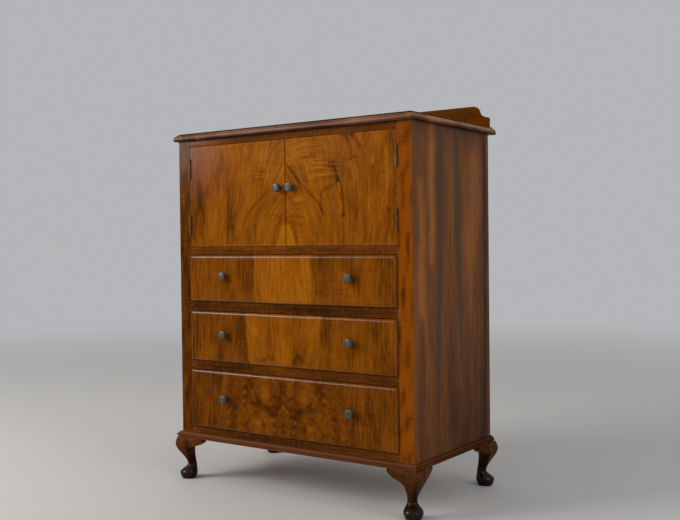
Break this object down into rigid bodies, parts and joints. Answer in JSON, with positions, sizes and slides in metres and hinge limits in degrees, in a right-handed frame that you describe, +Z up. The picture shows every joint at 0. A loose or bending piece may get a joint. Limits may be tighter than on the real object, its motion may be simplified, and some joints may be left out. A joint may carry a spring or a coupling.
{
  "type": "tallboy",
  "caption": "Free-standing walnut tallboy: a double-door cupboard over long drawers, moulded top with a low shaped gallery, moulded base and cabriole legs with pad feet.",
  "frame": {"origin": "on the floor, at the middle of the bounding box", "axes": "+Z up along the height, +X to the right seen from the front, +Y towards the back"},
  "size_m": [0.899, 0.514, 1.17],
  "materials": {
    "door_veneer": "figured walnut veneer, satin varnish",
    "drawer_veneer": "figured and burr walnut veneer, satin varnish",
    "front_walnut": "straight-grained walnut, satin varnish",
    "top_walnut": "walnut, satin varnish worn along the edges",
    "side_veneer": "dull striped walnut veneer",
    "base_walnut": "reddish brown walnut, semi-gloss",
    "leg_walnut": "dark stained walnut, semi-gloss, darker at the feet",
    "drawer_lining": "plain unfinished hardwood",
    "inner_wood": "plain unfinished softwood",
    "plywood": "thin plywood, unfinished",
    "knob_metal": "aged, dull, dark in the hollows",
    "hinge_brass": "tarnished",
    "catch_metal": "worn bright where the ball runs"
  },
  "bodies": {
    "carcass": {"stile_left": "front_walnut", "stile_right": "front_walnut", "side_left": "side_veneer", "side_right": "side_veneer", "back_post_left": "side_veneer", "back_post_right": "side_veneer", "bottom_rail": "front_walnut", "drawer_rail_lower": "front_walnut", "drawer_rail_upper": "front_walnut", "cupboard_rail": "front_walnut", "top_rail": "front_walnut", "catch_plates": "catch_metal", "cupboard_floor": "plywood", "floor_bearers": "inner_wood", "back_panel": "plywood", "top_board": "top_walnut", "gallery": "top_walnut", "base_rail_front": "base_walnut", "base_rail_left": "base_walnut", "base_rail_right": "base_walnut", "base_rail_back": "inner_wood", "leg_front_left": "leg_walnut", "leg_front_right": "leg_walnut", "leg_back_right": "leg_walnut", "leg_back_left": "leg_walnut", "hinge_leaves_left": "hinge_brass", "hinge_leaves_right": "hinge_brass", "hinge_pins": "hinge_brass", "runner_1_left": "inner_wood", "runner_1_right": "inner_wood", "runner_2_left": "inner_wood", "runner_2_right": "inner_wood", "runner_3_left": "inner_wood", "runner_3_right": "inner_wood"},
    "door_left": {"door_left_panel": "door_veneer", "door_left_knob": "knob_metal", "door_left_hinge_leaves": "hinge_brass", "door_left_catch": "catch_metal"},
    "door_right": {"door_right_panel": "door_veneer", "door_right_knob": "knob_metal", "door_right_hinge_leaves": "hinge_brass", "door_right_catch": "catch_metal"},
    "drawer_1": {"drawer_1_front": "drawer_veneer", "drawer_1_side_left": "drawer_lining", "drawer_1_side_right": "drawer_lining", "drawer_1_back": "drawer_lining", "drawer_1_bottom": "plywood", "drawer_1_knobs": "knob_metal"},
    "drawer_2": {"drawer_2_front": "drawer_veneer", "drawer_2_side_left": "drawer_lining", "drawer_2_side_right": "drawer_lining", "drawer_2_back": "drawer_lining", "drawer_2_bottom": "plywood", "drawer_2_knobs": "knob_metal"},
    "drawer_3": {"drawer_3_front": "drawer_veneer", "drawer_3_side_left": "drawer_lining", "drawer_3_side_right": "drawer_lining", "drawer_3_back": "drawer_lining", "drawer_3_bottom": "plywood", "drawer_3_knobs": "knob_metal"}
  },
  "joints": [
    {"name": "door_left_hinge", "type": "hinge", "parent": "carcass", "child": "door_left", "pos_m": [-0.384, -0.2302, 0.9], "axis": [0, 0, -1], "range_deg": [0, 170]},
    {"name": "door_right_hinge", "type": "hinge", "parent": "carcass", "child": "door_right", "pos_m": [0.384, -0.2302, 0.9], "axis": [0, 0, 1], "range_deg": [0, 170]},
    {"name": "drawer_1_slide", "type": "slide", "parent": "carcass", "child": "drawer_1", "axis": [0, -1, 0], "range_m": [0, 0.33]},
    {"name": "drawer_2_slide", "type": "slide", "parent": "carcass", "child": "drawer_2", "axis": [0, -1, 0], "range_m": [0, 0.33]},
    {"name": "drawer_3_slide", "type": "slide", "parent": "carcass", "child": "drawer_3", "axis": [0, -1, 0], "range_m": [0, 0.33]}
  ]
}
